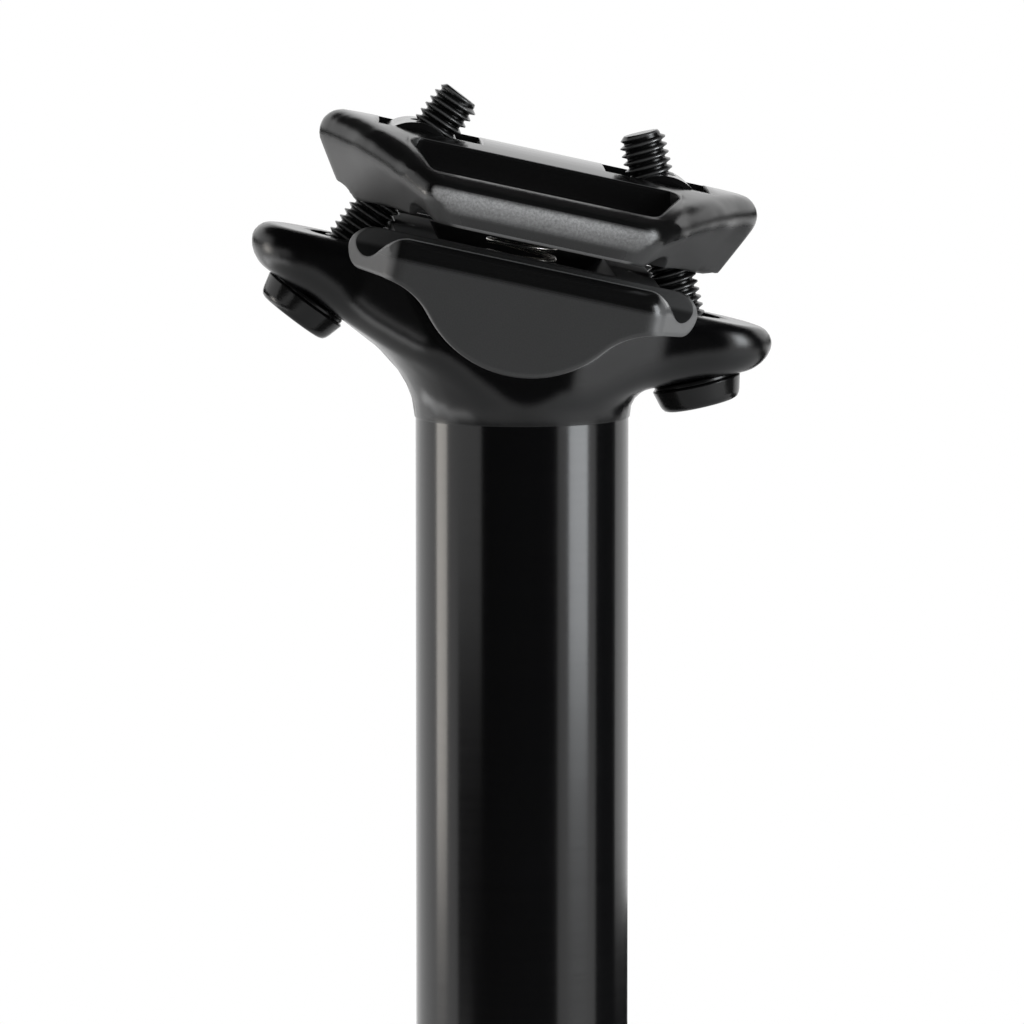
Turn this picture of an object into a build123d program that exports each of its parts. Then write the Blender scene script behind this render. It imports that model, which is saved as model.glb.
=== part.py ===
from build123d import *
import os
from math import atan2, cos, degrees, radians, sin, tan

# A bicycle seatpost: a turned tube with a forged head, and a saddle clamp that two bolts hold and tilt.
# Sizes are in millimetres and degrees. +X is the front of the bicycle and +Z runs up the tube.
# The clamp is drawn in its own frame, whose origin is on the tilt axis, and is then tilted on the post.

# Tube
tube_diameter = 27.2
tube_wall = 2.4
post_length = 350.0
bore_edge_chamfer = 0.8
bore_end_floor = 6.0
bore_end_round = 6.0

# Forged head
neck_height = 21.8
collar_step = 0.15
clamp_tilt = 12.3
flare_steps = 4
ear_reach = 33.9
ear_width = 16.0
ear_top_drop = 3.8
ear_root_drop = 13.9
ear_root_reach = 20.7
ear_underside_slope = 21.8
ear_neck_reach = 20.0
head_width = 28.4
head_shoulder_reach = 9.0
shoulder_round = 8.0
head_step_reach = 18.6
head_step_depth = 1.8
ear_edge_round = 2.2
ear_under_round = 4.4

# Tilting seat between head and cradle
belly_radius = 14.5
trough_clearance = 0.25

# Saddle rails
rail_diameter = 7.0
rail_spacing = 44.0
rail_clearance = 0.05
rail_opening = 0.8

# Lower cradle
cradle_width = 56.0
cradle_reach = 31.9
cradle_end_angle = 28.0
cradle_arm_thickness = 5.4
cradle_deck_reach = 17.0
cradle_deck_thickness = 1.8
cradle_top_drop = 0.4
head_side_clearance = 0.5
bolt_notch_swing = 2.0
gutter_wall = 1.3
belly_blend = 9.0
cradle_corner_round = 3.0
cradle_edge_round = 3.0
cradle_rim_round = 0.6
prong_inner_round = 3.2
spring_bed_reach = 9.5
spring_bed_slope = 2.0
spring_bed_depth = 2.6
spring_bed_width = 30.0

# Upper clamp
clamp_reach = 29.4
clamp_width = 56.0
clamp_end_angle = 25.4
clamp_rear_draft = 31.0
clamp_front_draft = 24.0
clamp_side_draft = 8.0
clamp_lip_rise = 2.2
clamp_keel_rise = 1.4
clamp_keel_radius = 90.0
clamp_widest_rise = 9.3
clamp_crown_rise = 12.2
clamp_crown_radius = 108.0
clamp_tip_round = 5.0
clamp_edge_round = 2.8
clamp_corner_round = 5.0
web_width = 19.0
window_width = 10.5
window_reach = 19.5
window_corner_round = 2.2
spring_pocket_rise = 4.2

# Bolts, washers and barrel nuts
bolt_diameter = 6.0
bolt_length = 32.6
bolt_splay = 25.0
bolt_offset = 17.85
bolt_tip_chamfer = 0.8
bolt_head_diameter = 11.4
bolt_head_height = 3.0
bolt_head_taper = 0.6
bolt_head_round = 1.0
socket_across_flats = 4.0
socket_depth = 1.8
seat_distance = 21.4
washer_diameter = 10.8
washer_thickness = 0.6
washer_edge_chamfer = 0.15
washer_bolt_clearance = 0.3
washer_seat_clearance = 0.6
nut_diameter = 10.6
nut_length = 14.0
nut_edge_chamfer = 0.6
nut_bolt_clearance = 0.22
nut_pocket_clearance = 0.35
nut_pocket_relief = 1.0
ear_hole_clearance = 0.4
ear_hole_swing = 1.4
clamp_slot_swing = 2.0
bolt_slot_clearance = 0.4

# Coil spring
spring_diameter = 9.4
spring_wire = 0.7
spring_turns = 4.0
spring_gap = 0.12
spring_pocket_clearance = 0.4

# Worked out from the sizes above
tube_radius = tube_diameter / 2
collar_height = post_length - neck_height
bolt_radius = bolt_diameter / 2
nut_radius = nut_diameter / 2
trough_radius = belly_radius + trough_clearance
groove_radius = rail_diameter / 2 + rail_clearance
gutter_inner_edge = rail_spacing / 2 - groove_radius - gutter_wall
head_seat = -seat_distance - washer_thickness
far = 3 * (ear_reach + clamp_width)
tolerance = 0.01
clamp_frame = Location((0, 0, post_length), (0, clamp_tilt, 0))
REAR = -1
FRONT = 1


def bolt_frame(side):
    """A nut's place in the clamp frame, with Z along its bolt towards the tip.

    The nut lies where the bolt passes nearest to the tilt axis, so tilting moves it along the bolt."""
    across = bolt_offset * cos(radians(bolt_splay))
    rise = bolt_offset * sin(radians(bolt_splay))
    return Location((side * across, 0, rise), (0, -side * bolt_splay, 0))


def cross_bar(radius, length):
    """A cylinder that lies across the post, along Y."""
    return Rot(90, 0, 0) * Cylinder(radius, length)


def rail_bars(radius, rise):
    """Two long bars where the saddle rails lie."""
    bar = Rot(0, 90, 0) * Cylinder(radius, far)
    return Pos(0, rail_spacing / 2, rise) * bar + Pos(0, -rail_spacing / 2, rise) * bar


def pointed_plan(reach, half_width, end_angle):
    """A plan outline with straight flanks and a shallow point at each end."""
    corner = reach - half_width * tan(radians(end_angle))
    points = [(reach, 0), (corner, half_width), (-corner, half_width)]
    points += [(-u, -y) for u, y in points]
    return make_face(Polyline(*points, close=True))


def bolt_slot(side, inward, outward, low, high, clearance):
    """A long hole along a bolt, stretched towards the post and away from it."""
    width = bolt_diameter + 2 * clearance
    outline = SlotOverall(width + inward + outward, width)
    prism = extrude(Pos(side * (outward - inward) / 2, 0) * outline, high - low)
    return bolt_frame(side) * Pos(0, 0, low) * prism


# The post: a tube that flares into a forged head with an ear at each end
def flare_side(side, blend):
    """A point on the bend from the tube to the underside of one ear, as the blend goes from 0 to 1."""
    start = Vector(side * (tube_radius + collar_step), 0, collar_height)
    root = (clamp_frame * Pos(side * ear_root_reach, 0, -ear_root_drop)).position
    slope = tan(radians(ear_underside_slope - side * clamp_tilt))
    bend = Vector(start.X, 0, root.Z - abs(root.X - start.X) * slope)
    return start * (1 - blend) ** 2 + bend * (2 * blend * (1 - blend)) + root * blend ** 2


def head_flare():
    """A trumpet that turns with the tilt, from the round collar to the cone under the ears."""
    sections = []
    for step in range(flare_steps + 1):
        rear = flare_side(REAR, step / flare_steps)
        front = flare_side(FRONT, step / flare_steps)
        turn = degrees(atan2(rear.Z - front.Z, front.X - rear.X))
        sections.append(Location((rear + front) / 2, (0, turn, 0)) * Circle((front - rear).length / 2))
    depth = ear_root_drop - ear_top_drop
    cone = Cone(ear_root_reach, ear_root_reach + depth / tan(radians(ear_underside_slope)), depth)
    return clamp_frame.inverse() * loft(sections) + Pos(0, 0, -ear_top_drop - depth / 2) * cone


def head_plan():
    """The dog-bone that the head shows from above, wide at the trough and round at the ear tips."""
    half_head = head_width / 2
    half_ear = ear_width / 2
    waist = [(head_shoulder_reach, half_head), (ear_neck_reach, half_ear), (ear_reach - half_ear, half_ear)]
    points = waist + [(u, -y) for u, y in reversed(waist)]
    points += [(-u, -y) for u, y in points]
    face = make_face(Polyline(*points, close=True))
    bends = [v for v in face.vertices() if abs(v.X) < ear_neck_reach + half_ear / 4]
    face = fillet(bends, shoulder_round)
    tip = Circle(half_ear)
    return face + Pos(ear_reach - half_ear, 0) * tip + Pos(half_ear - ear_reach, 0) * tip


def make_post():
    plan = extrude(Pos(0, 0, -ear_top_drop) * head_plan(), -2 * neck_height)
    head = head_flare() & plan
    under = [e for e in head.edges().filter_by(GeomType.BSPLINE) if abs(e.center().X) > ear_reach - tolerance]
    head = fillet(under, ear_under_round)
    top = head.faces().sort_by(Axis.Z)[-1]
    head = fillet(top.edges(), ear_edge_round)
    head -= cross_bar(trough_radius, far)
    head -= Pos(0, 0, -ear_top_drop) * Box(2 * head_step_reach, far, 2 * head_step_depth)
    for side in (REAR, FRONT):
        head -= bolt_slot(side, ear_hole_swing, ear_hole_swing, -seat_distance - far, 0, ear_hole_clearance)
        seat = Cylinder(washer_diameter / 2 + washer_seat_clearance, far)
        head -= bolt_frame(side) * Pos(0, 0, -seat_distance - far / 2) * seat
    tube = Pos(0, 0, collar_height / 2) * Cylinder(tube_radius, collar_height)
    post = tube + clamp_frame * head
    bore_depth = collar_height - bore_end_floor
    bore = Pos(0, 0, bore_depth / 2) * Cylinder(tube_radius - tube_wall, bore_depth)
    post -= fillet(bore.edges().sort_by(Axis.Z)[-1], bore_end_round)
    mouth = post.edges().group_by(Axis.Z)[0].sort_by(SortBy.RADIUS)[0]
    return chamfer(mouth, bore_edge_chamfer)


# The lower cradle: a half-round belly that tilts in the trough, with a gutter for each rail
def cradle_side_view(blend):
    """The belly and its two arms as seen from the side, with the inner corners rounded by the blend."""
    top = -cradle_top_drop
    arm = Pos(0, top - cradle_arm_thickness / 2) * Rectangle(2 * cradle_reach, cradle_arm_thickness)
    below = Pos(0, top - far / 2) * Rectangle(far, far)
    outline = arm + (Circle(belly_radius) & below)
    under_arms = top - cradle_arm_thickness / 2
    return fillet([v for v in outline.vertices() if abs(v.X) < belly_radius and v.Y < under_arms], blend)


def make_lower_cradle():
    top = -cradle_top_drop
    plan = pointed_plan(cradle_reach, cradle_width / 2, cradle_end_angle)
    cradle = extrude(Plane.XZ * cradle_side_view(belly_blend), cradle_width / 2, both=True)
    cradle &= extrude(plan, far / 2, both=True)
    flank = cradle_width / 2 - tolerance
    upright = cradle.edges().filter_by(Axis.Z)
    cradle = fillet([e for e in upright if abs(e.center().Y) > flank], cradle_corner_round)
    top_edges = cradle.faces().sort_by(Axis.Z)[-1].edges()
    cradle = fillet([e for e in top_edges if abs(e.center().Y) > gutter_inner_edge / 2], cradle_edge_round)
    under_deck = Pos(0, 0, top - cradle_deck_thickness - far / 2)
    hollow = under_deck * Box(far, head_width + 2 * head_side_clearance, far)
    cradle -= hollow - cross_bar(belly_radius, far)
    for side in (REAR, FRONT):
        cradle -= Pos(side * (cradle_deck_reach + far / 2), 0, 0) * Box(far, 2 * gutter_inner_edge, far)
        cradle -= bolt_slot(side, bolt_notch_swing, far / 4, -seat_distance, 0, bolt_slot_clearance)
    cradle -= rail_bars(groove_radius, top)
    bed_top = spring_bed_reach + spring_bed_slope
    bed_floor = top - spring_bed_depth
    bed = Polyline((-bed_top, top), (bed_top, top), (spring_bed_reach, bed_floor),
                   (-spring_bed_reach, bed_floor), close=True)
    cradle -= extrude(Plane.XZ * make_face(bed), spring_bed_width / 2, both=True)
    underside = top - cradle_arm_thickness
    inner = [e for e in cradle.edges() if abs(abs(e.center().Y) - gutter_inner_edge) < tolerance
             and e.center().Z < underside + tolerance]
    cradle = fillet(inner, prong_inner_round)
    rim = [e for e in cradle.edges().filter_by(GeomType.CIRCLE) if abs(e.center().Y) > flank
           and e.center().Z < top - cradle_arm_thickness]
    return clamp_frame * fillet(rim, cradle_rim_round)


# The upper clamp: a crowned bridge with a window each side of the web that holds the nuts
def clamp_block():
    """A low block whose ends come to a shallow point and whose sides all lean in towards the rails."""
    block = Pos(0, 0, clamp_crown_rise / 2) * Box(far, far, clamp_crown_rise)
    end_reach = clamp_reach * cos(radians(clamp_end_angle))
    flanks = [(turn + lean, end_reach, draft) for turn, draft in ((0, clamp_front_draft), (180, clamp_rear_draft))
              for lean in (-clamp_end_angle, clamp_end_angle)]
    flanks += [(turn, clamp_width / 2, clamp_side_draft) for turn in (90, -90)]
    for turn, reach, draft in flanks:
        flank = Rot(0, 0, turn) * Pos(reach, 0, clamp_widest_rise) * Rot(0, 90 + draft, 0)
        block = split(block, bisect_by=Plane(flank), keep=Keep.BOTTOM)
    level = block.edges().group_by(Axis.Z)
    upright = [e for e in block.edges() if e not in level[0] and e not in level[-1]]
    block = fillet([e for e in upright if abs(e.center().Y) > clamp_tip_round], clamp_corner_round)
    tips = [e for e in block.edges().filter_by(GeomType.LINE) if abs(e.center().Y) < tolerance]
    return fillet(tips, clamp_tip_round)


def make_upper_clamp():
    crown = Rot(0, 90, 0) * Cylinder(clamp_crown_radius, far)
    clamp = clamp_block() & Pos(0, 0, clamp_crown_rise - clamp_crown_radius) * crown
    top = [f for f in clamp.faces() if f.geom_type == GeomType.CYLINDER and f.radius > 2 * clamp_tip_round]
    clamp = fillet(ShapeList(top).edges(), clamp_edge_round)
    keel = Pos(0, 0, clamp_keel_rise + clamp_keel_radius) * Rot(0, 90, 0) * Cylinder(clamp_keel_radius, far)
    clamp -= Pos(0, 0, clamp_lip_rise - far / 2) * Box(far, far, far) - keel
    clamp -= rail_bars(groove_radius, rail_opening - cradle_top_drop)
    inner = web_width / 2
    outer = inner + window_width
    lean = window_width * tan(radians(clamp_end_angle))
    window = make_face(Polyline((window_reach, inner), (window_reach - lean, outer),
                                (lean - window_reach, outer), (-window_reach, inner), close=True))
    window = fillet(window.vertices(), window_corner_round)
    clamp -= extrude(window + mirror(window, Plane.XZ), 2 * clamp_crown_rise)
    pocket_radius = nut_radius + nut_pocket_clearance
    pocket_length = nut_length + 2 * nut_pocket_clearance
    for side in (REAR, FRONT):
        relief = Pos(side * nut_pocket_relief, 0, 0)
        pocket = cross_bar(pocket_radius, pocket_length)
        pocket += Pos(0, 0, far / 2) * Box(2 * pocket_radius, pocket_length, far)
        pocket += relief * pocket
        clamp -= bolt_frame(side) * pocket
        clamp -= bolt_slot(side, clamp_slot_swing, clamp_slot_swing, -seat_distance, 0, bolt_slot_clearance)
    spring_pocket = Cylinder(spring_diameter / 2 + spring_pocket_clearance, spring_pocket_rise)
    clamp -= Pos(0, 0, spring_pocket_rise / 2) * spring_pocket
    return clamp_frame * clamp


# Bolts, washers and barrel nuts, each drawn in its bolt's frame
def make_bolt(side):
    shank = Pos(0, 0, head_seat + bolt_length / 2) * Cylinder(bolt_radius, bolt_length)
    shank = chamfer(shank.edges().sort_by(Axis.Z)[-1], bolt_tip_chamfer)
    head_radius = bolt_head_diameter / 2
    head = Cone(head_radius - bolt_head_taper, head_radius, bolt_head_height)
    head = fillet(head.edges().sort_by(Axis.Z)[0], bolt_head_round)
    bolt = shank + Pos(0, 0, head_seat - bolt_head_height / 2) * head
    socket = extrude(RegularPolygon(socket_across_flats / 2, 6, major_radius=False), socket_depth)
    return clamp_frame * bolt_frame(side) * (bolt - Pos(0, 0, head_seat - bolt_head_height) * socket)


def make_washer(side):
    washer = Cylinder(washer_diameter / 2, washer_thickness)
    washer = chamfer(washer.edges().filter_by(GeomType.CIRCLE), washer_edge_chamfer)
    washer -= Cylinder(bolt_radius + washer_bolt_clearance, washer_thickness)
    return clamp_frame * bolt_frame(side) * Pos(0, 0, head_seat + washer_thickness / 2) * washer


def make_barrel_nut(side):
    nut = Cylinder(nut_radius, nut_length)
    nut = Rot(90, 0, 0) * chamfer(nut.edges().filter_by(GeomType.CIRCLE), nut_edge_chamfer)
    nut -= Cylinder(bolt_radius + nut_bolt_clearance, nut_diameter)
    return clamp_frame * bolt_frame(side) * nut


# The coil spring stands in the cradle's bed and pushes the upper clamp open
def make_spring():
    bed = -cradle_top_drop - spring_bed_depth
    height = spring_pocket_rise - bed - 2 * spring_gap - spring_wire
    path = Helix(height / spring_turns, height, (spring_diameter - spring_wire) / 2)
    wire = sweep(Plane(path @ 0, z_dir=path % 0) * Circle(spring_wire / 2), path)
    return clamp_frame * Pos(0, 0, bed + spring_gap + spring_wire / 2) * wire


os.makedirs("parts", exist_ok=True)
pieces = {"post": make_post(), "lower_cradle": make_lower_cradle(), "upper_clamp": make_upper_clamp()}
for name, side in (("rear", REAR), ("front", FRONT)):
    pieces[f"{name}_bolt"] = make_bolt(side)
    pieces[f"{name}_washer"] = make_washer(side)
    pieces[f"{name}_barrel_nut"] = make_barrel_nut(side)
pieces["spring"] = make_spring()
for name, piece in pieces.items():
    export_step(piece, f"parts/{name}.step")
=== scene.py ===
# %% [markdown]
# # A bicycle seatpost in black anodised aluminium
# A turned tube grows into a forged head, and two bolts hold a saddle clamp on it. The shapes come from
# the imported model, which is loaded as a fixed frame. This lesson adds the finishes, a softer crown for the
# upper clamp, the screw threads, the coil spring, the light and the camera.

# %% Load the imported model
from math import atan, cos, degrees, pi, radians, sin
from types import SimpleNamespace

import bmesh
import bpy
from mathutils import Euler, Matrix, Vector


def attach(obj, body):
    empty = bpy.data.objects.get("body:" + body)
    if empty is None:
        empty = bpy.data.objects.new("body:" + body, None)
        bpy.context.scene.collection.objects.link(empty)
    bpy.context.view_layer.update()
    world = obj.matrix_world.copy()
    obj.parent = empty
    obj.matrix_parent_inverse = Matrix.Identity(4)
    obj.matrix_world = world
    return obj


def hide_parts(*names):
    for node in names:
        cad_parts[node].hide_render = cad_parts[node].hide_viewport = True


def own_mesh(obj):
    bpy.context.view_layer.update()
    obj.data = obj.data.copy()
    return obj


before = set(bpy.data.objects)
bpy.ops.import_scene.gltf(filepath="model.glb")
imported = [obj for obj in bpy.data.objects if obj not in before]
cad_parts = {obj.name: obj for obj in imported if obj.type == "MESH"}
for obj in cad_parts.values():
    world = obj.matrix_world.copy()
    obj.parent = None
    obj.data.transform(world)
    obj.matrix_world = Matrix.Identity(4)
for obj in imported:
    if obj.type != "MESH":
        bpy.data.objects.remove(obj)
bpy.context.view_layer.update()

# %% [markdown]
# ## Where things are
# The clamp tilts about an axis across the top of the post. Each bolt leans in towards that axis, and its
# nut lies where the bolt passes the axis most closely. These few sizes repeat the CAD model's, in metres,
# because a new thread or spring has to lie exactly where the solid lies that it replaces.

# %% Name the sizes that the new pieces need
MM = 0.001
SAME_SPOT = 0.001 * MM
POST_LENGTH = 350.0 * MM
COLLAR_HEIGHT = 328.2 * MM
CLAMP_TILT = radians(12.3)
BOLT_SPLAY = radians(25.0)
BOLT_OFFSET = 17.85 * MM
REAR = -1
FRONT = 1

clamp_frame = Matrix.Translation((0, 0, POST_LENGTH)) @ Matrix.Rotation(CLAMP_TILT, 4, "Y")


def bolt_frame(side):
    """The place of a nut, with Z along its bolt towards the tip."""
    across = side * BOLT_OFFSET * cos(BOLT_SPLAY)
    rise = BOLT_OFFSET * sin(BOLT_SPLAY)
    lean = Matrix.Rotation(-side * BOLT_SPLAY, 4, "Y")
    return clamp_frame @ Matrix.Translation((across, 0, rise)) @ lean


for side in (REAR, FRONT):
    print("nut at", [round(c, 5) for c in bolt_frame(side).translation])

# %% [markdown]
# ## Maths on sockets
# A finish is a small sum: noise times a mask, plus a base value. Written as Python expressions such sums
# stay readable, so one class wraps an output socket and turns each operator into a Math node. Every other
# node comes from its one method `add`, which sets the node's settings first and then its sockets.


# %% A socket that understands arithmetic
class Wire:
    """An output socket of a node tree."""

    def __init__(self, tree, socket):
        self.tree = tree
        self.socket = socket

    @classmethod
    def add(cls, tree, kind, settings=None, sockets=None, output=0):
        """Add any node: its settings first, then the values or links of its sockets."""
        node = tree.nodes.new(kind)
        for name, value in (settings or {}).items():
            setattr(node, name, value)
        for name, value in (sockets or {}).items():
            if isinstance(value, Wire):
                tree.links.new(value.socket, node.inputs[name])
            else:
                node.inputs[name].default_value = value
        return cls(tree, node.outputs[output])

    def math(self, operation, *values):
        """Add a Math node and set or link its sockets in order."""
        return Wire.add(self.tree, "ShaderNodeMath", {"operation": operation}, dict(enumerate(values)))

    def __add__(self, other):
        return self.math("ADD", self, other)

    def __sub__(self, other):
        return self.math("SUBTRACT", self, other)

    def __rsub__(self, other):
        return self.math("SUBTRACT", other, self)

    def __mul__(self, other):
        return self.math("MULTIPLY", self, other)

    def __pow__(self, other):
        return self.math("POWER", self, other)

    def __gt__(self, other):
        return self.math("GREATER_THAN", self, other)

    def __abs__(self):
        return self.math("ABSOLUTE", self)

    def larger(self, other):
        return self.math("MAXIMUM", self, other)

    __radd__ = __add__
    __rmul__ = __mul__


print("operators ready:", "+", "-", "*", "**", ">", "abs", "larger")

# %% [markdown]
# ## Helpers for every finish
# All finishes are one Principled shader with its fixed values set on the sockets themselves. What varies
# over the surface reads Object coordinates, so a pattern stays on its piece when the clamp tilts.

# %% Start a finish
EDGE_SAMPLES = 6


def start_finish(name, **fixed):
    """A new material, its tree, its shader node and its object coordinates."""
    finish = bpy.data.materials.new(name)
    finish.use_nodes = True
    tree = finish.node_tree
    shader = tree.nodes["Principled BSDF"]
    for socket, value in fixed.items():
        shader.inputs[socket.replace("_", " ")].default_value = value
    place = Wire.add(tree, "ShaderNodeTexCoord", output="Object")
    return finish, tree, shader, place


def feed(tree, shader, **wires):
    """Link varying values to the shader's sockets."""
    for socket, wire in wires.items():
        tree.links.new(wire.socket, shader.inputs[socket.replace("_", " ")])


def grain(tree, place, size, detail=2.0, roughness=0.5):
    """Noise from 0 to 1 whose blobs are about one size across, in metres."""
    sockets = {"Vector": place, "Scale": 1 / size, "Detail": detail, "Roughness": roughness}
    return Wire.add(tree, "ShaderNodeTexNoise", None, sockets, "Fac")


def relief(tree, height, depth, normal=None):
    """A Bump node for a height from 0 to 1 that is some metres deep."""
    sockets = {"Height": height, "Distance": depth, "Strength": 1.0}
    if normal:
        sockets["Normal"] = normal
    return Wire.add(tree, "ShaderNodeBump", None, sockets, "Normal")


def ramp(tree, value, middle, blend):
    """0 below a place and 1 above it, with a soft step as long as the blend."""
    sockets = {"Value": value, "From Min": middle - blend / 2, "From Max": middle + blend / 2}
    return Wire.add(tree, "ShaderNodeMapRange", {"interpolation_type": "SMOOTHSTEP"}, sockets)


def mix_vectors(tree, share, first, second):
    """The first vector, mixed with a share of the second."""
    return Wire.add(tree, "ShaderNodeMix", {"data_type": "VECTOR"}, {0: share, 4: first, 5: second}, 1)


def grey_tint(tree, shade):
    """One shade for red, green and blue."""
    return Wire.add(tree, "ShaderNodeCombineColor", None, {"Red": shade, "Green": shade, "Blue": shade})


def split(tree, vector):
    """The X, Y and Z of a vector."""
    node = Wire.add(tree, "ShaderNodeSeparateXYZ", None, {"Vector": vector}).socket.node
    return [Wire(tree, output) for output in node.outputs]


def between(value, low, high):
    """1 where a value lies between two others."""
    return (value > low) * (1 - (value > high))


def broken_edge(tree, radius):
    """The shading normal of an edge that tumbling has rounded off a little."""
    return Wire.add(tree, "ShaderNodeBevel", {"samples": EDGE_SAMPLES}, {"Radius": radius}, "Normal")


print("finish helpers ready")

# %% [markdown]
# ## Gloss black for the post
# The tube is turned, polished and anodised black. Along the tube the tool leaves rings too fine to see
# singly, which stretch each reflection a little. A noise that is squeezed along Z makes such rings, and a
# mask ends them at the collar, where the forged head starts and has a slightly softer sheen.

# %% The post's finish
ANODISED_IOR = 1.5
POST_BLACK = (0.0022, 0.0022, 0.0025, 1.0)
RING_STRETCH = (0.02, 0.02, 1.0)
RING_SIZE = 0.45 * MM
RING_DEPTH = 0.0012 * MM
TUBE_EDGE = 0.25 * MM
FORGED_EDGE = 2.0 * MM


def make_post_finish():
    finish, tree, shader, place = start_finish("post_gloss_black", IOR=ANODISED_IOR, Base_Color=POST_BLACK)
    _, _, height = split(tree, place)
    on_head = height > COLLAR_HEIGHT
    squeeze = Wire.add(tree, "ShaderNodeMapping", None, {"Vector": place, "Scale": RING_STRETCH})
    rings = grain(tree, squeeze, RING_SIZE, detail=3.0)
    cloud = grain(tree, place, 9 * MM)
    dust = grain(tree, place, 0.5 * MM)
    gloss = 0.11 + 0.03 * cloud + 0.05 * (1 - on_head) * rings + 0.06 * on_head
    bumps = (1 - on_head) * rings + 0.5 * on_head * dust
    smoothed = mix_vectors(tree, on_head, broken_edge(tree, TUBE_EDGE), broken_edge(tree, FORGED_EDGE))
    feed(tree, shader, Roughness=gloss, Normal=relief(tree, bumps, RING_DEPTH, smoothed))
    return finish


post_finish = make_post_finish()
print("made", post_finish.name, "with", len(post_finish.node_tree.nodes), "nodes")

# %% [markdown]
# ## Measures on the clamp
# The two clamp halves are forged, blasted with fine beads and anodised, and then polished in places. One
# finish serves both, so it has to know where a place lies. Three lengths are taken in the tilted clamp:
# along the rails, aside from the middle, and the rise above the tilt axis. The surface's own normal tells
# how far a face looks up, to a side or to an end.


# %% Measure a place on the clamp
def clamp_lengths(tree, place):
    """The lengths along, aside and up, from the middle of the tilt axis."""
    turn = {"Vector": place, "Location": (0.0, 0.0, POST_LENGTH), "Rotation": (0.0, CLAMP_TILT, 0.0)}
    along, aside, rise = split(tree, Wire.add(tree, "ShaderNodeMapping", {"vector_type": "TEXTURE"}, turn))
    return along, abs(aside), rise


def facing(tree, direction):
    """1 where the surface faces along a direction of the clamp, and -1 where it faces away."""
    normal = Wire.add(tree, "ShaderNodeTexCoord", output="Normal")
    both = {0: normal, 1: clamp_frame.to_3x3() @ Vector(direction)}
    return Wire.add(tree, "ShaderNodeVectorMath", {"operation": "DOT_PRODUCT"}, both, "Value")


print("the clamp can be measured")

# %% [markdown]
# ## Zones of the clamp
# Each zone is a mask from 0 to 1. The crown and the rail edges are polished, the windows nearly so, and the
# deck between the rails stays sandy, with its blasted grey left out as painted shade under the upper clamp.
# Along the flank of the upper clamp runs a band of bare blasting with a painted highlight, lighter at the
# top and fading to the ends. A pair of numbers is the middle of a soft step and the length that the step
# takes.

# %% Tell the zones apart
CROWN_FROM = 6.0 * MM
DECK_REACH = 22.0 * MM
DECK_FACING = (0.6, 0.2)
CROWN_FACING = (-0.26, 0.5)
CRADLE_FACING = (0.12, 0.2)
WINDOW_ALONG = 17.6 * MM
WINDOW_ASIDE = 23.8 * MM
WINDOW_END_LEAN = -0.33
WINDOW_WALL_FACING = 0.75
WINDOW_POLISH = 0.8
FLANK_REACH = 26.4 * MM
FLANK_FACING = (0.86, 0.1)
# Where the flank band lies, and how its painted highlight grows upwards and fades along the clamp
BAND_RISE = 5.3 * MM
BAND_EDGE = (1.3 * MM, 1.0 * MM)
BAND_FADE = (BAND_RISE, 2.6 * MM)
BAND_START = (-19.0 * MM, 3.0 * MM)
BAND_END = (14.0 * MM, 14.0 * MM)


def sheen_zones(tree, place):
    along, aside, rise = clamp_lengths(tree, place)
    upward = facing(tree, (0, 0, 1))
    sideways = abs(facing(tree, (0, 1, 0)))
    upper = rise > 0.0
    crown = rise > CROWN_FROM
    rim = crown.larger(aside > DECK_REACH)
    deck = (1 - rim) * ramp(tree, upward, *DECK_FACING)
    off_ends = (upward > WINDOW_END_LEAN).larger(sideways > WINDOW_WALL_FACING)
    window = crown * (1 - (abs(along) > WINDOW_ALONG)) * (1 - (aside > WINDOW_ASIDE)) * off_ends
    flank = (aside > FLANK_REACH) * upper * ramp(tree, sideways, *FLANK_FACING)
    strip = flank * (1 - ramp(tree, abs(rise - BAND_RISE), *BAND_EDGE))
    # A painted highlight on the band: it fades towards the clamp's ends and is lighter towards the top
    lit = ramp(tree, along, *BAND_START) * (1 - ramp(tree, along, *BAND_END))
    painted_highlight_band = strip * lit * (0.35 + 0.65 * ramp(tree, rise, *BAND_FADE))
    crown_sheen = upper * ramp(tree, upward, *CROWN_FACING)
    cradle_sheen = (1 - upper) * ramp(tree, upward, *CRADLE_FACING)
    polished = (crown_sheen + cradle_sheen) * rim * (1 - strip)
    blasted = 1 - polished.larger(WINDOW_POLISH * window)
    return SimpleNamespace(crown=crown, deck=deck, window=window, flank=flank, painted_highlight_band=painted_highlight_band, blasted=blasted)


print("band of bare blasting at", round(BAND_RISE / MM, 1), "mm above the tilt axis")

# %% [markdown]
# ## Painted highlights and grooves
# Pale lines are painted where edges would catch the light: on the outer edge of the cradle, on the lower lip
# of the upper clamp and on the inner rim of its windows. Here a highlight pair is the range aside from the
# middle.
# The cradle's end faces, which look along the rails, get a painted highlight too. The rail grooves are dull.

# %% Find the painted highlights and the grooves
# Where the painted highlights lie, along edges and on the cradle's ends
HIGHLIGHT_FACING = 0.2
EDGE_HIGHLIGHT_ASIDE = (25.5 * MM, 25.95 * MM)
EDGE_HIGHLIGHT_FROM = -2.0 * MM
RIM_HIGHLIGHT_ASIDE = (11.3 * MM, 11.72 * MM)
LIP_TOP = 2.55 * MM
END_FACING = (0.5, 0.3)
END_HIGHLIGHT_FROM = 16.0 * MM
RAIL_ASIDE = 22.0 * MM
RAIL_RISE = -0.4 * MM
RAIL_SEAT = 4.1 * MM


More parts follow.
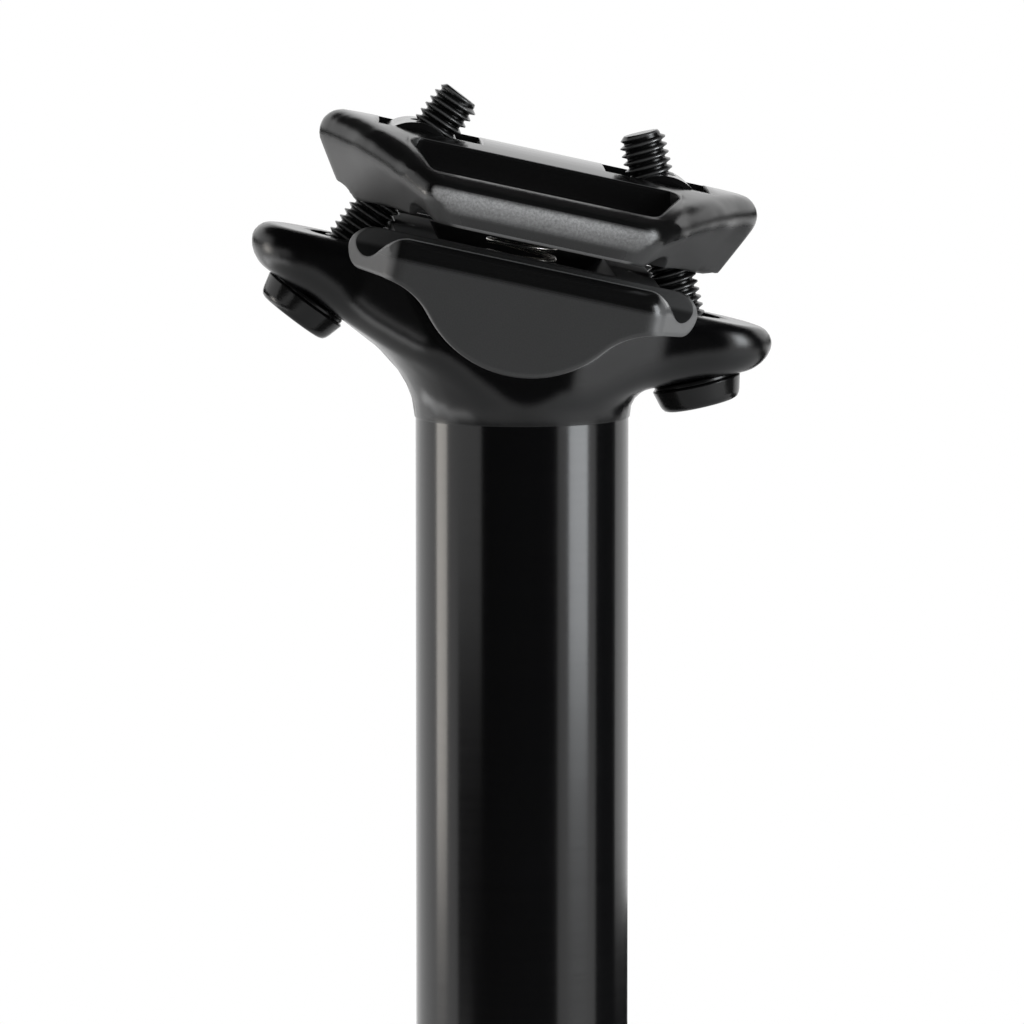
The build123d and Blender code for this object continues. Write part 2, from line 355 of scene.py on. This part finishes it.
def highlight_and_groove_zones(tree, place, sheens):
    _, aside, rise = clamp_lengths(tree, place)
    topside = facing(tree, (0, 0, 1)) > HIGHLIGHT_FACING
    endward = abs(facing(tree, (1, 0, 0)))
    lower = 1 - (rise > 0.0)
    # Painted highlights: thin pale lines on the cradle's outer edge, the upper clamp's lip and the window
    # rims
    edge = between(aside, *EDGE_HIGHLIGHT_ASIDE) * lower * (rise > EDGE_HIGHLIGHT_FROM) * topside
    lip = sheens.flank * (1 - (rise > LIP_TOP))
    rim = sheens.window * between(aside, *RIM_HIGHLIGHT_ASIDE) * topside
    wear_and_painted_highlight = 0.16 * edge + 0.1 * lip + 0.06 * rim
    # Painted highlight on the cradle's end faces, which look along the rails
    painted_end_highlight = ramp(tree, endward, *END_FACING) * lower * (aside > END_HIGHLIGHT_FROM)
    off_aside = aside - RAIL_ASIDE
    off_rise = rise - RAIL_RISE
    off_rail = off_aside * off_aside + off_rise * off_rise
    groove = (1 - (off_rail > RAIL_SEAT ** 2)) * (1 - painted_end_highlight)
    return SimpleNamespace(wear_and_painted_highlight=wear_and_painted_highlight, painted_end_highlight=painted_end_highlight, groove=groove)


print("rail seats", round(RAIL_SEAT / MM, 1), "mm in radius")

# %% [markdown]
# ## The clamp's sheens together
# Colour and gloss are sums over the zones; the colour also holds the painted highlights and painted shade.
# Blasting adds a sandy grain to both and a fine relief, and the crown's edges are softened further than the
# rest.

# %% The clamp's finish
SAND_SIZE = 0.2 * MM
SAND_DEPTH = 0.012 * MM
BEAD_SIZE = 0.35 * MM
CLAMP_EDGE = 0.6 * MM
CROWN_EDGE = 1.6 * MM


def make_clamp_finish():
    finish, tree, shader, place = start_finish("clamp_blasted_black", IOR=ANODISED_IOR)
    sheens = sheen_zones(tree, place)
    highlights_and_grooves = highlight_and_groove_zones(tree, place, sheens)
    blasted = sheens.blasted
    sand = grain(tree, place, SAND_SIZE, detail=3.0, roughness=0.6)
    beads = grain(tree, place, BEAD_SIZE, roughness=0.7)
    cloud = grain(tree, place, 6 * MM)
    # Painted highlights on the cradle's ends and along the edges
    shade = 0.005 + 0.09 * highlights_and_grooves.painted_end_highlight + highlights_and_grooves.wear_and_painted_highlight
    # Blasted faces are a paler grey, but the deck between the rails is left out of it as painted shade under
    # the upper clamp
    shade = shade + blasted * (1 - sheens.deck) * (0.02 + 0.02 * sand)
    # The painted highlight on the flank band, broken up by bead grain
    shade = shade + sheens.painted_highlight_band * (0.03 + 0.5 * beads)
    gloss = 0.13 + 0.03 * cloud + blasted * (0.2 + 0.06 * sand) + 0.4 * sheens.deck + 0.35 * highlights_and_grooves.groove
    softened = sheens.crown * (1 - sheens.window)
    smoothed = mix_vectors(tree, softened, broken_edge(tree, CLAMP_EDGE), broken_edge(tree, CROWN_EDGE))
    bumps = relief(tree, blasted * sand, SAND_DEPTH, smoothed)
    feed(tree, shader, Base_Color=grey_tint(tree, shade), Roughness=gloss, Normal=bumps)
    return finish


clamp_finish = make_clamp_finish()
print("made", clamp_finish.name, "with", len(clamp_finish.node_tree.nodes), "nodes")

# %% [markdown]
# ## Black oxide for bolts, nuts and washers
# Steel that is blackened in a hot bath keeps a thin dark skin, which wears bright on crests and corners.
# The threads carry an attribute that is 1 on a crest and 0 in a root, and it mixes the skin towards steel.

# %% The fasteners' finish
OXIDE_IOR = 1.42
SPECK_SIZE = 0.3 * MM
SPECK_DEPTH = 0.01 * MM
OXIDE_EDGE = 0.15 * MM


def make_oxide_finish(name, gloss):
    finish, tree, shader, place = start_finish(name, IOR=OXIDE_IOR)
    crest = Wire.add(tree, "ShaderNodeAttribute", {"attribute_name": "crest"}, None, "Fac")
    cloud = grain(tree, place, 1.5 * MM)
    speck = grain(tree, place, SPECK_SIZE)
    # On the threads this is real wear: the black skin rubbed bright on the crests
    wear_and_painted_highlight = crest ** 4.0 * (0.25 + 0.75 * cloud)
    tint = grey_tint(tree, 0.003 + 0.003 * speck + 0.2 * wear_and_painted_highlight)
    normal = relief(tree, speck, SPECK_DEPTH, broken_edge(tree, OXIDE_EDGE))
    feed(tree, shader, Base_Color=tint, Roughness=gloss + 0.1 * cloud, Metallic=0.8 * wear_and_painted_highlight, Normal=normal)
    return finish


oxide_finish = make_oxide_finish("black_oxide_steel", 0.14)
nut_finish = make_oxide_finish("polished_oxide_steel", 0.1)
for finish in (oxide_finish, nut_finish):
    print("made", finish.name, "with", len(finish.node_tree.nodes), "nodes")

# %% [markdown]
# ## Bare steel for the spring
# The coil spring is the only bright piece. Drawn wire has fine marks along it and a warm white colour.

# %% The spring's finish
WIRE_WARMTH = (1.0, 0.97, 0.91)
WIRE_MARKS = 0.004 * MM


def make_wire_finish():
    finish, tree, shader, place = start_finish("drawn_steel_wire", Metallic=1.0)
    cloud = grain(tree, place, 0.8 * MM)
    shade = 0.78 + 0.16 * cloud
    sockets = {name: share * shade for name, share in zip(("Red", "Green", "Blue"), WIRE_WARMTH)}
    tint = Wire.add(tree, "ShaderNodeCombineColor", None, sockets)
    feed(tree, shader, Base_Color=tint, Roughness=0.2 + 0.1 * cloud, Normal=relief(tree, cloud, WIRE_MARKS))
    return finish


wire_finish = make_wire_finish()
print("made", wire_finish.name, "with", len(wire_finish.node_tree.nodes), "nodes")

# %% [markdown]
# ## Finishes on the solids
# The post, the cradle, the washers and the nuts have their true shape in the frame already, so they stay as
# they are and only their material changes.

# %% Dress the solids
solid_finishes = {
    "post": post_finish,
    "lower_cradle": clamp_finish,
    "rear_washer": oxide_finish,
    "front_washer": oxide_finish,
    "rear_barrel_nut": nut_finish,
    "front_barrel_nut": nut_finish,
}
for node, finish in solid_finishes.items():
    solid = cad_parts[node]
    solid.data.materials.clear()
    solid.data.materials.append(finish)
    print("dressed", node)

# %% [markdown]
# ## From bmesh to a piece
# Each new piece is modelled about its own axis, moved into place in its mesh, and handed to the frame: it
# rides on a body, stands for a solid and takes its finish as its material.

# %% Hand a mesh to the frame
SHARP_EDGE = radians(30)


def place_object(name, data):
    """A new object in the scene."""
    thing = bpy.data.objects.new(name, data)
    bpy.context.scene.collection.objects.link(thing)
    return thing


def mesh_object(bm, name, finish):
    """A new object from a bmesh, in one finish."""
    mesh = bpy.data.meshes.new(name)
    bm.to_mesh(mesh)
    bm.free()
    mesh.materials.append(finish)
    return place_object(name, mesh)


def finish_piece(bm, name, place, finish, body, node):
    """Move a piece into place, shade it smooth between its sharp edges, and hand it over."""
    bmesh.ops.transform(bm, matrix=place, verts=bm.verts)
    bmesh.ops.recalc_face_normals(bm, faces=bm.faces)
    for face in bm.faces:
        face.smooth = True
    for edge in bm.edges:
        edge.smooth = edge.calc_face_angle(0.0) < SHARP_EDGE
    piece = mesh_object(bm, name, finish)
    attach(piece, body)
    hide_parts(node)
    print("made", name, "with", len(piece.data.polygons), "faces")
    return piece


print("pieces can be handed over")

# %% [markdown]
# ## The forged crown
# The upper clamp's solid has a crown of one even radius. Forging leaves the real one softer: its crown
# falls off faster, and its two windows open wider at the top than at the rails. So a copy of the solid is
# merged, divided finely and eased into that form, while its underside with the rail grooves stays where it
# is. An easing is a list of steps, each with a solid place and the place that it moves to, in millimetres.

# %% Ease a place on the crown
CROWN_RISE = 12.2 * MM
LIP_RISE = 2.2 * MM
SOLID_CROWN = 108.0 * MM
FORGED_CROWN = 75.0 * MM
ASIDE_EASE = ((0.0, 0.0), (7.5, 7.5), (9.5, 11.7), (20.0, 23.9), (28.0, 28.0))
ALONG_EASE = ((0.0, 0.0), (14.0, 14.0), (19.5, 18.1), (26.0, 26.0))
POCKET_REACH = 7.5 * MM
POCKET_BLEND = 1.3 * MM
MIDDLE = 0.013 * MM


def eased(reach, steps):
    """Where a place on the crown moves to, read from the steps of an easing in millimetres."""
    for (low, new_low), (high, new_high) in zip(steps, steps[1:]):
        if reach <= high * MM:
            return new_low * MM + (reach - low * MM) * (new_high - new_low) / (high - low)
    return reach


def limited(value):
    """A value kept from 0 to 1."""
    return min(1.0, max(0.0, value))


def ease(vert):
    """Move a vertex of the clamp: not at all at the lip, and fully at the crown."""
    aside = abs(vert.co.y)
    solid_crown = CROWN_RISE - aside ** 2 / (2 * SOLID_CROWN)
    lift = limited((vert.co.z - LIP_RISE) / (solid_crown - LIP_RISE))
    moved = aside + lift ** 2 * (eased(aside, ASIDE_EASE) - aside)
    vert.co.z += lift * (CROWN_RISE - moved ** 2 / (2 * FORGED_CROWN) - solid_crown)
    vert.co.y *= moved / max(aside, MIDDLE)
    beyond = limited((aside - POCKET_REACH) / POCKET_BLEND)
    along = max(abs(vert.co.x), MIDDLE)
    vert.co.x *= 1 + lift ** 2 * beyond * (eased(along, ALONG_EASE) / along - 1)


print("a window's outer wall moves from 20.0 to", round(eased(20.0 * MM, ASIDE_EASE) / MM, 1), "mm aside")

# %% [markdown]
# ## The upper clamp
# The copy's long triangles are halved until no edge is longer than a limit, because only vertices can move.
# After the easing, the two blunt ends of the clamp are smoothed, most of all above the crown's lowest rise.

# %% Model the upper clamp
LONGEST_EDGE = 1.3 * MM
HALVINGS = 6
SLIVER = 0.002 * MM
END_REACH = 22.0 * MM
END_ROUNDS = ((CROWN_FROM, 6), (0.0, 2))
ALL_AXES = {"use_axis_x": True, "use_axis_y": True, "use_axis_z": True}


def make_upper_clamp():
    bm = bmesh.new()
    bm.from_mesh(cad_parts["upper_clamp"].data)
    bmesh.ops.remove_doubles(bm, verts=bm.verts, dist=SAME_SPOT)
    bmesh.ops.transform(bm, matrix=clamp_frame.inverted(), verts=bm.verts)
    for _ in range(HALVINGS):
        coarse = [edge for edge in bm.edges if edge.calc_length() > LONGEST_EDGE]
        bmesh.ops.subdivide_edges(bm, edges=coarse, cuts=1, use_single_edge=True)
        bmesh.ops.triangulate(bm, faces=bm.faces)
    bmesh.ops.dissolve_degenerate(bm, dist=SLIVER, edges=bm.edges)
    for vert in bm.verts:
        ease(vert)
    for lowest, rounds in END_ROUNDS:
        ends = [vert for vert in bm.verts if abs(vert.co.x) > END_REACH and vert.co.z > lowest]
        for _ in range(rounds):
            bmesh.ops.smooth_vert(bm, verts=ends, factor=0.5, **ALL_AXES)
    finish_piece(bm, "crowned_clamp", clamp_frame, clamp_finish, "clamp", "upper_clamp")


make_upper_clamp()

# %% [markdown]
# ## Screw threads
# The solid of a bolt is a plain cylinder, and the photo shows a coarse thread from head to tip. A thread is
# a zigzag drawn along the axis and spun once round while it climbs by one pitch: the end of the spin then
# meets its start one tooth further on, and merging the doubles closes the helix. Two cuts give it a length,
# and its tip is turned to a cone. A tooth's root and crest are given as shares of the pitch.

# %% Model a threaded shank
THREAD_RADIUS = 3.0 * MM
THREAD_PITCH = 1.0 * MM
THREAD_DEPTH = 0.58 * MM
HEAD_SEAT = -22.0 * MM
BOLT_LENGTH = 32.6 * MM
TIP_CHAMFER = 0.8 * MM
SHANK_SINK = 0.4 * MM
THREAD_STEPS = 48
ROOT_END = 0.22
CREST_START = 0.54
CREST_END = 0.68
SPARE_BELOW = 3
SPARE_ABOVE = 2


def make_shank(bm):
    teeth = int(BOLT_LENGTH / THREAD_PITCH) + SPARE_BELOW + SPARE_ABOVE
    start = HEAD_SEAT - SPARE_BELOW * THREAD_PITCH
    root = THREAD_RADIUS - THREAD_DEPTH
    tooth = ((0.0, root), (ROOT_END, root), (CREST_START, THREAD_RADIUS), (CREST_END, THREAD_RADIUS))
    spots = [(radius, 0, start + (n + part) * THREAD_PITCH) for n in range(teeth) for part, radius in tooth]
    verts = [bm.verts.new(spot) for spot in spots]
    edges = [bm.edges.new(pair) for pair in zip(verts, verts[1:])]
    climb = (0, 0, THREAD_PITCH / THREAD_STEPS)
    bmesh.ops.spin(bm, geom=verts + edges, cent=(0, 0, 0), axis=(0, 0, 1), dvec=climb, angle=2 * pi,
                   steps=THREAD_STEPS, use_merge=False)
    bmesh.ops.remove_doubles(bm, verts=bm.verts, dist=SAME_SPOT)
    tip = HEAD_SEAT + BOLT_LENGTH
    for height, outward in ((HEAD_SEAT - SHANK_SINK, -1), (tip, 1)):
        whole = bm.verts[:] + bm.edges[:] + bm.faces[:]
        cut = bmesh.ops.bisect_plane(bm, geom=whole, plane_co=(0, 0, height), plane_no=(0, 0, outward),
                                     clear_outer=True)
        rim = [part for part in cut["geom_cut"] if isinstance(part, bmesh.types.BMEdge)]
        bmesh.ops.holes_fill(bm, edges=rim)
    crest = bm.verts.layers.float.new("crest")
    for vert in bm.verts:
        radius = vert.co.xy.length
        vert[crest] = max(0.0, (radius - root) / THREAD_DEPTH) ** 3
        limit = THREAD_RADIUS - TIP_CHAMFER + (tip - vert.co.z)
        if radius > limit:
            vert.co.xy *= limit / radius


trial = bmesh.new()
make_shank(trial)
print("a shank has", len(trial.faces), "faces")
trial.free()

# %% [markdown]
# ## Bolt heads
# Each bolt has a low round head with a hexagon socket that faces down. Its seat and side are a profile
# spun round the axis, and its foot is rounded in steps. The socket starts as a hexagon whose sides are
# divided, so that bridging it to the head's round rim gives even faces, and its rim is then extruded
# inwards. The shank reaches a little into the head, and a hair's breadth parts the head from its washer.

# %% Model a head and the whole bolt
HEAD_RADIUS = 5.7 * MM
HEAD_HEIGHT = 3.0 * MM
HEAD_TAPER = 0.6 * MM
HEAD_GAP = 0.02 * MM
KEY_WIDTH = 4.0 * MM
SOCKET_SIDES = 6
SOCKET_RADIUS = KEY_WIDTH / 2 / cos(pi / SOCKET_SIDES)
SOCKET_DEPTH = 1.8 * MM
SEAT_CHAMFER = 0.15 * MM
FOOT_ROUND = ((0.12, 1.0), (-0.06, 0.55), (-0.32, 0.2), (-0.7, 0.03), (-1.0, 0.0))
HEAD_STEPS = 72


def make_head(bm):
    foot = HEAD_SEAT - HEAD_HEIGHT
    seat = HEAD_SEAT - HEAD_GAP
    slim = HEAD_RADIUS - HEAD_TAPER
    profile = [(0.0, seat), (HEAD_RADIUS - SEAT_CHAMFER, seat), (HEAD_RADIUS, seat - SEAT_CHAMFER)]
    profile += [(slim + out * MM, foot + up * MM) for out, up in FOOT_ROUND]
    verts = [bm.verts.new((radius, 0, height)) for radius, height in profile]
    edges = [bm.edges.new(pair) for pair in zip(verts, verts[1:])]
    bmesh.ops.spin(bm, geom=verts + edges, cent=(0, 0, 0), axis=(0, 0, 1), angle=2 * pi, steps=HEAD_STEPS,
                   use_merge=True)
    bmesh.ops.remove_doubles(bm, verts=bm.verts, dist=SAME_SPOT)
    rim = [edge for edge in bm.edges if edge.is_boundary
           and all(abs(vert.co.z - foot) < SAME_SPOT for vert in edge.verts)]
    hexagon = bmesh.ops.create_circle(bm, cap_ends=False, radius=SOCKET_RADIUS, segments=SOCKET_SIDES)
    bmesh.ops.translate(bm, vec=(0, 0, foot), verts=hexagon["verts"])
    sides = [edge for edge in bm.edges if edge.is_wire]
    bmesh.ops.subdivide_edges(bm, edges=sides, cuts=HEAD_STEPS // SOCKET_SIDES - 1)
    mouth = [edge for edge in bm.edges if edge.is_wire]
    bmesh.ops.bridge_loops(bm, edges=rim + mouth)
    sunk = bmesh.ops.extrude_edge_only(bm, edges=mouth)["geom"]
    floor_verts = [part for part in sunk if isinstance(part, bmesh.types.BMVert)]
    bmesh.ops.translate(bm, vec=(0, 0, SOCKET_DEPTH), verts=floor_verts)
    floor_rim = [part for part in sunk if isinstance(part, bmesh.types.BMEdge) and part.is_boundary]
    bmesh.ops.contextual_create(bm, geom=floor_rim)


for name, side in (("rear", REAR), ("front", FRONT)):
    bm = bmesh.new()
    make_shank(bm)
    make_head(bm)
    finish_piece(bm, f"{name}_threaded_bolt", bolt_frame(side), oxide_finish, f"{name}_bolt",
                 f"{name}_bolt")

# %% [markdown]
# ## The coil spring
# A coil spring is a small circle carried round a helix. Spin does that in one step: it turns the circle
# about the spring's axis and lifts it a little at each step. The circle is filled, so both ends are closed.

# %% Model the spring
SPRING_WIDTH = 9.4 * MM
WIRE_RADIUS = 0.35 * MM
WIRE_SIDES = 16
SPRING_RADIUS = SPRING_WIDTH / 2 - WIRE_RADIUS
SPRING_BOTTOM = -2.88 * MM
SPRING_TOP = 4.08 * MM
SPRING_TURNS = 4
SPRING_STEPS = 48


def make_spring():
    bm = bmesh.new()
    ring = bmesh.ops.create_circle(bm, cap_ends=True, radius=WIRE_RADIUS, segments=WIRE_SIDES)["verts"]
    start = Matrix.Translation((SPRING_RADIUS, 0, SPRING_BOTTOM + WIRE_RADIUS))
    upright = Matrix.Rotation(pi / 2, 4, "X")
    bmesh.ops.transform(bm, matrix=start @ upright, verts=ring)
    steps = SPRING_TURNS * SPRING_STEPS
    rise = (SPRING_TOP - SPRING_BOTTOM - 2 * WIRE_RADIUS) / steps
    geom = bm.verts[:] + bm.edges[:] + bm.faces[:]
    bmesh.ops.spin(bm, geom=geom, cent=(0, 0, 0), axis=(0, 0, 1), dvec=(0, 0, rise),
                   angle=2 * pi * SPRING_TURNS, steps=steps, use_merge=False)
    bmesh.ops.remove_doubles(bm, verts=bm.verts, dist=SAME_SPOT)
    return finish_piece(bm, "coil_spring", clamp_frame, wire_finish, "cradle", "spring")


spring = make_spring()
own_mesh(spring)

# %% [markdown]
# ## The studio floor
# The photo stands on pure white. A pale floor takes the shadow near the post and fades to white further
# out, so that its edge never shows. The fade is the factor between a plain surface and white light.

# %% Lay the floor
FLOOR_RADIUS = 3.0
FLOOR_SIDES = 96
FLOOR_GREY = (0.82, 0.82, 0.82, 1.0)
FADE_FROM = 0.25
FADE_TO = 1.1


def make_floor():
    bm = bmesh.new()
    bmesh.ops.create_circle(bm, cap_ends=True, radius=FLOOR_RADIUS, segments=FLOOR_SIDES)
    finish, tree, shader, place = start_finish("pale_floor", Base_Color=FLOOR_GREY, Roughness=0.7)
    away = Wire.add(tree, "ShaderNodeVectorMath", {"operation": "LENGTH"}, {0: place}, "Value")
    fade = ramp(tree, away, (FADE_FROM + FADE_TO) / 2, FADE_TO - FADE_FROM)
    white = Wire.add(tree, "ShaderNodeEmission", None, {"Strength": 1.0})
    plain = Wire(tree, shader.outputs[0])
    both = Wire.add(tree, "ShaderNodeMixShader", None, {"Fac": fade, 1: plain, 2: white})
    tree.links.new(both.socket, tree.nodes["Material Output"].inputs["Surface"])
    floor = mesh_object(bm, "floor", finish)
    return floor


floor = make_floor()
print("floor", round(floor.dimensions.x, 2), "m across")

# %% [markdown]
# ## The white room
# What the camera and the glossy black see is white at strength 1. The light that the room itself sheds on
# the object is weaker, so that the lamps shape it.

# %% Colour the world
ROOM_LIGHT = 0.45
world = bpy.data.worlds.new("white_room")
world.use_nodes = True
bpy.context.scene.world = world
tree = world.node_tree
camera_ray = Wire.add(tree, "ShaderNodeLightPath", output="Is Camera Ray")
glossy_ray = Wire.add(tree, "ShaderNodeLightPath", output="Is Glossy Ray")
strength = ROOM_LIGHT + (1 - ROOM_LIGHT) * (camera_ray + glossy_ray)
tree.links.new(strength.socket, tree.nodes["Background"].inputs["Strength"])
tree.nodes["Background"].inputs["Color"].default_value = (1.0, 1.0, 1.0, 1.0)
print("room sheds", ROOM_LIGHT)

# %% [markdown]
# ## Cards round the post
# Gloss black shows its surroundings, and in the photo its front shows darkness between two streaks of
# light. A photographer gets that with black cards. These stand in front, at the sides and behind, and one
# hangs above. One low card on the left glows instead, which puts a soft light under the ears and the
# clamp. Only reflections see the cards: they cast no shadow and never stand in the camera's way.

# %% Make cards
CARD_STEPS = 24


def around(azimuth, distance, height):
    """A place round the post. Azimuth 0 is on the camera's side, and 90 is at the bicycle's front."""
    turn = radians(azimuth)
    return Vector((sin(turn) * distance, -cos(turn) * distance, height))


def make_card(bm, name, finish):
    card = mesh_object(bm, name, finish)
    for ray in ("camera", "diffuse", "transmission", "volume_scatter", "shadow"):
        setattr(card, f"visible_{ray}", False)
    print("card", name)


def make_standing_card(name, finish, left, right, distance, bottom, top):
    """A bent card that stands round the post from one azimuth to another."""
    bm = bmesh.new()
    low, high = [bm.verts.new(around(left, distance, height)) for height in (bottom, top)]
    edge = bm.edges.new((low, high))
    bmesh.ops.spin(bm, geom=[low, high, edge], cent=(0, 0, 0), axis=(0, 0, 1), angle=radians(right - left),
                   steps=CARD_STEPS, use_merge=False)
    make_card(bm, name, finish)


def make_hanging_card(name, finish, radius, height):
    bm = bmesh.new()
    verts = bmesh.ops.create_circle(bm, cap_ends=True, radius=radius, segments=2 * CARD_STEPS)["verts"]
    bmesh.ops.translate(bm, vec=(0, 0, height), verts=verts)
    make_card(bm, name, finish)


print("cards can be made")

# %% [markdown]
# ## Where the cards stand
# Each row gives a card's left and right azimuth in degrees, its distance, and the heights of its bottom and
# top in metres. The gaps between the cards are what the black metal shows as light.

# %% Set up the cards
CARD_BLACK = (0.004, 0.004, 0.004, 1.0)
CARD_WHITE = (0.8, 0.8, 0.8, 1.0)
CARD_GLOW = 1.8
STANDING_CARDS = {
    "front_card": (-47, 36, 0.8, 0.02, 1.5),
    "low_left_card": (-76, -47, 0.8, 0.02, 0.2),
    "high_left_card": (-86, -47, 0.8, 0.34, 1.5),
    "right_card": (84, 118, 0.9, 0.02, 1.5),
    "back_left_card": (-158, -110, 0.9, 0.27, 0.42),
    "back_right_card": (118, 158, 0.9, 0.27, 0.42),
    "low_back_right_card": (112, 165, 0.6, 0.02, 0.17),
}
LIT_CARD = (-135, -59, 0.6, 0.02, 0.12)
OVERHEAD_CARD = (1.05, 1.0)

black_card, *_ = start_finish("black_card", Base_Color=CARD_BLACK, Roughness=1.0, Emission_Strength=0.0)
lit_card, *_ = start_finish("lit_card", Base_Color=CARD_WHITE, Roughness=1.0, Emission_Strength=CARD_GLOW)
for name, sizes in STANDING_CARDS.items():
    make_standing_card(name, black_card, *sizes)
make_hanging_card("overhead_card", black_card, *OVERHEAD_CARD)
make_standing_card("low_left_lit_card", lit_card, *LIT_CARD)

# %% [markdown]
# ## Softboxes
# Two softboxes draw the streaks on the tube: a tall cool one to the right of the camera, and a low warm one
# at the left. Their power is worked out from the brightness that their faces should have.

# %% Place the softboxes
COOL = (0.93, 0.97, 1.0)
WARM = (1.0, 0.95, 0.88)


def make_softbox(name, azimuth, distance, width, low, high, brightness, colour):
    light = bpy.data.lights.new(name, "AREA")
    light.shape = "RECTANGLE"
    light.size = width
    light.size_y = high - low
    light.energy = brightness * pi * width * (high - low)
    light.color = colour
    softbox = place_object(name, light)
    softbox.location = around(azimuth, distance, (low + high) / 2)
    softbox.rotation_euler = Euler((pi / 2, 0, radians(azimuth)))
    softbox.visible_camera = False
    print("softbox", name, round(light.energy, 2), "W")


make_softbox("broad_softbox", azimuth=61, distance=1.1, width=0.46, low=0.15, high=1.2,
             brightness=6.5, colour=COOL)
make_softbox("narrow_softbox", azimuth=-100, distance=1.1, width=0.32, low=0.1, high=0.34,
             brightness=4.5, colour=WARM)

# %% [markdown]
# ## The camera
# The photo was taken with a long lens, a little above the clamp and from slightly behind its middle. The
# focal length is known in pixels of the square picture, and a 36 mm sensor turns that into a lens.

# %% Aim the camera
PICTURE = 1024
FOCAL_PIXELS = 7990
SENSOR = 36.0
AZIMUTH = -2.5
ELEVATION = 6.33
DISTANCE = 1.02
TARGET = Vector((-1.347, -1.301, 315.956)) * MM

lens = bpy.data.cameras.new("photo_camera")
lens.sensor_width = SENSOR
lens.sensor_fit = "HORIZONTAL"
lens.lens = lens.sensor_width * FOCAL_PIXELS / PICTURE
lens.clip_start = 0.01
camera = place_object("photo_camera", lens)
level = around(AZIMUTH, 1.0, 0.0) * cos(radians(ELEVATION))
camera.location = TARGET + (level + Vector((0, 0, sin(radians(ELEVATION))))) * DISTANCE
camera.rotation_euler = (TARGET - camera.location).to_track_quat("-Z", "Y").to_euler()
bpy.context.scene.camera = camera
bpy.context.scene.view_settings.view_transform = "Standard"
print("field of view", round(2 * degrees(atan(PICTURE / 2 / FOCAL_PIXELS)), 2), "degrees")
